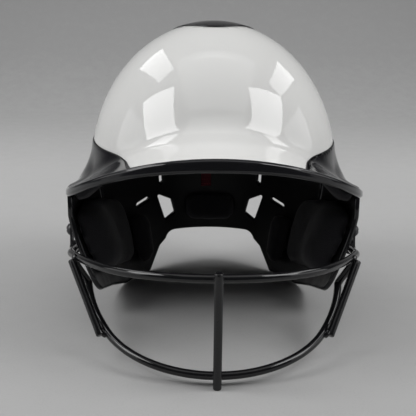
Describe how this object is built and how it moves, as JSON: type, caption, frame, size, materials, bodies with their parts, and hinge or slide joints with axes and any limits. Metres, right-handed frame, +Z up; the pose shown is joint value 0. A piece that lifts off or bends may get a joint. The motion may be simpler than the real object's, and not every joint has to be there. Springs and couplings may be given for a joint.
{
  "type": "softball batting helmet",
  "caption": "Two-tone hard-shell batting helmet with a brim, ear flaps, vents, a ponytail port and a wire face guard screwed to the flaps.",
  "frame": {"origin": "on the table, under the centre of the whole helmet with its guard", "axes": "-Y towards the front of the helmet, +Z up, +X to the right of a viewer who faces its front"},
  "size_m": [0.232, 0.2997, 0.228],
  "materials": {
    "shell_black": "gloss",
    "panel_white": "gloss",
    "guard_coating": "gloss",
    "clip_black": "satin",
    "bolt_black": "satin",
    "nut_steel": "satin",
    "pad_fabric": "matt",
    "tab_maroon": "matt"
  },
  "bodies": {
    "root": {"main_shell": "shell_black", "front_panel": "panel_white", "guard_upper_bar": "guard_coating", "guard_lower_bar": "guard_coating", "guard_centre_strut": "guard_coating", "guard_left_strut": "guard_coating", "guard_right_strut": "guard_coating", "left_guard_clip": "clip_black", "right_guard_clip": "clip_black", "clip_bolts": "bolt_black", "clip_nuts": "nut_steel", "brow_pad": "pad_fabric", "crown_pad": "pad_fabric", "back_pad": "pad_fabric", "nape_pad": "pad_fabric", "left_temple_pad": "pad_fabric", "right_temple_pad": "pad_fabric", "left_jaw_pad": "pad_fabric", "right_jaw_pad": "pad_fabric", "left_rear_pad": "pad_fabric", "right_rear_pad": "pad_fabric", "pull_tab": "tab_maroon"}
  },
  "joints": []
}
